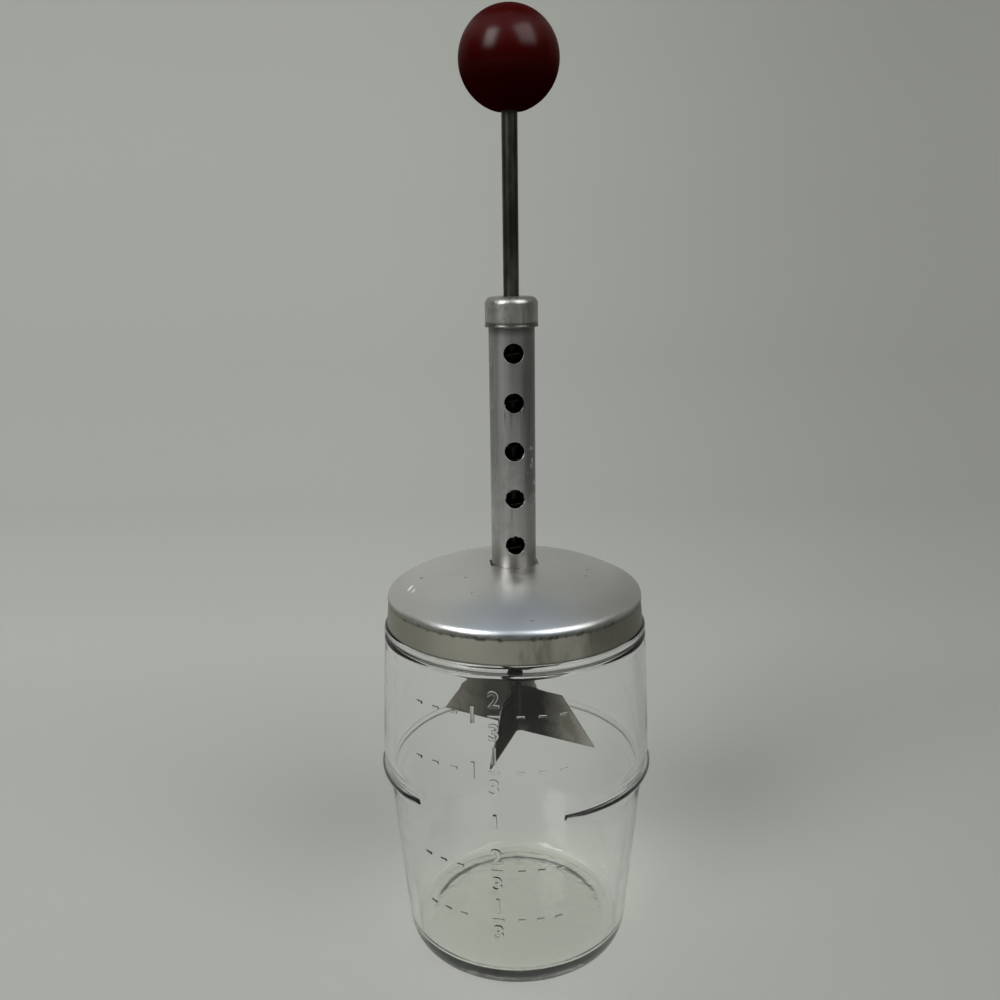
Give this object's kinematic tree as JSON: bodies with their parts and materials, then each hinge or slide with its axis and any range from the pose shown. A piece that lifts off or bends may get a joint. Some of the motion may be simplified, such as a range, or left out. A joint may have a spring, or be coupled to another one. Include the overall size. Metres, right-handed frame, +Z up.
{
  "type": "nut chopper",
  "caption": "Push-down nut chopper: a glass jar with a domed slip lid, a drilled guide tube and a sprung rod whose ball knob drives V-bent steel blades into the jar.",
  "frame": {"origin": "middle of the jar's resting ring, on the table", "axes": "+Z up along the jar and rod, -Y towards the front with the scale and the tube's holes, +X to the right seen from there"},
  "size_m": [0.0886, 0.088, 0.2916],
  "materials": {
    "glass": "clear pressed glass",
    "lid_aluminium": "worn spun aluminium",
    "tube_aluminium": "worn drawn aluminium",
    "rod_steel": "dark drawn steel",
    "knob_paint": "glossy dark red painted wood",
    "spring_steel": "bare spring steel",
    "blade_steel": "worn sheet steel"
  },
  "bodies": {
    "jar": {"glass_jar": "glass"},
    "lid": {"lid": "lid_aluminium", "guide_tube": "tube_aluminium", "tube_cap": "tube_aluminium", "return_spring": "spring_steel"},
    "spring_seat": {"spring_washer": "spring_steel"},
    "plunger": {"plunger_rod": "rod_steel", "knob": "knob_paint", "stop_pin": "rod_steel", "front_blade": "blade_steel", "rear_blade": "blade_steel"}
  },
  "joints": [
    {"name": "lid_lift", "type": "slide", "parent": "jar", "child": "lid", "axis": [0, 0, 1], "range_m": [0, 0.065]},
    {"name": "plunger_press", "type": "slide", "parent": "lid", "child": "spring_seat", "axis": [0, 0, -1], "range_m": [0, 0.0515], "stiffness_N_per_m": 220, "springref_m": -0.015, "deforming": ["return_spring"]},
    {"name": "plunger_turn", "type": "hinge", "parent": "spring_seat", "child": "plunger", "pos_m": [0, 0, 0.2], "axis": [0, 0, 1], "continuous": true}
  ]
}
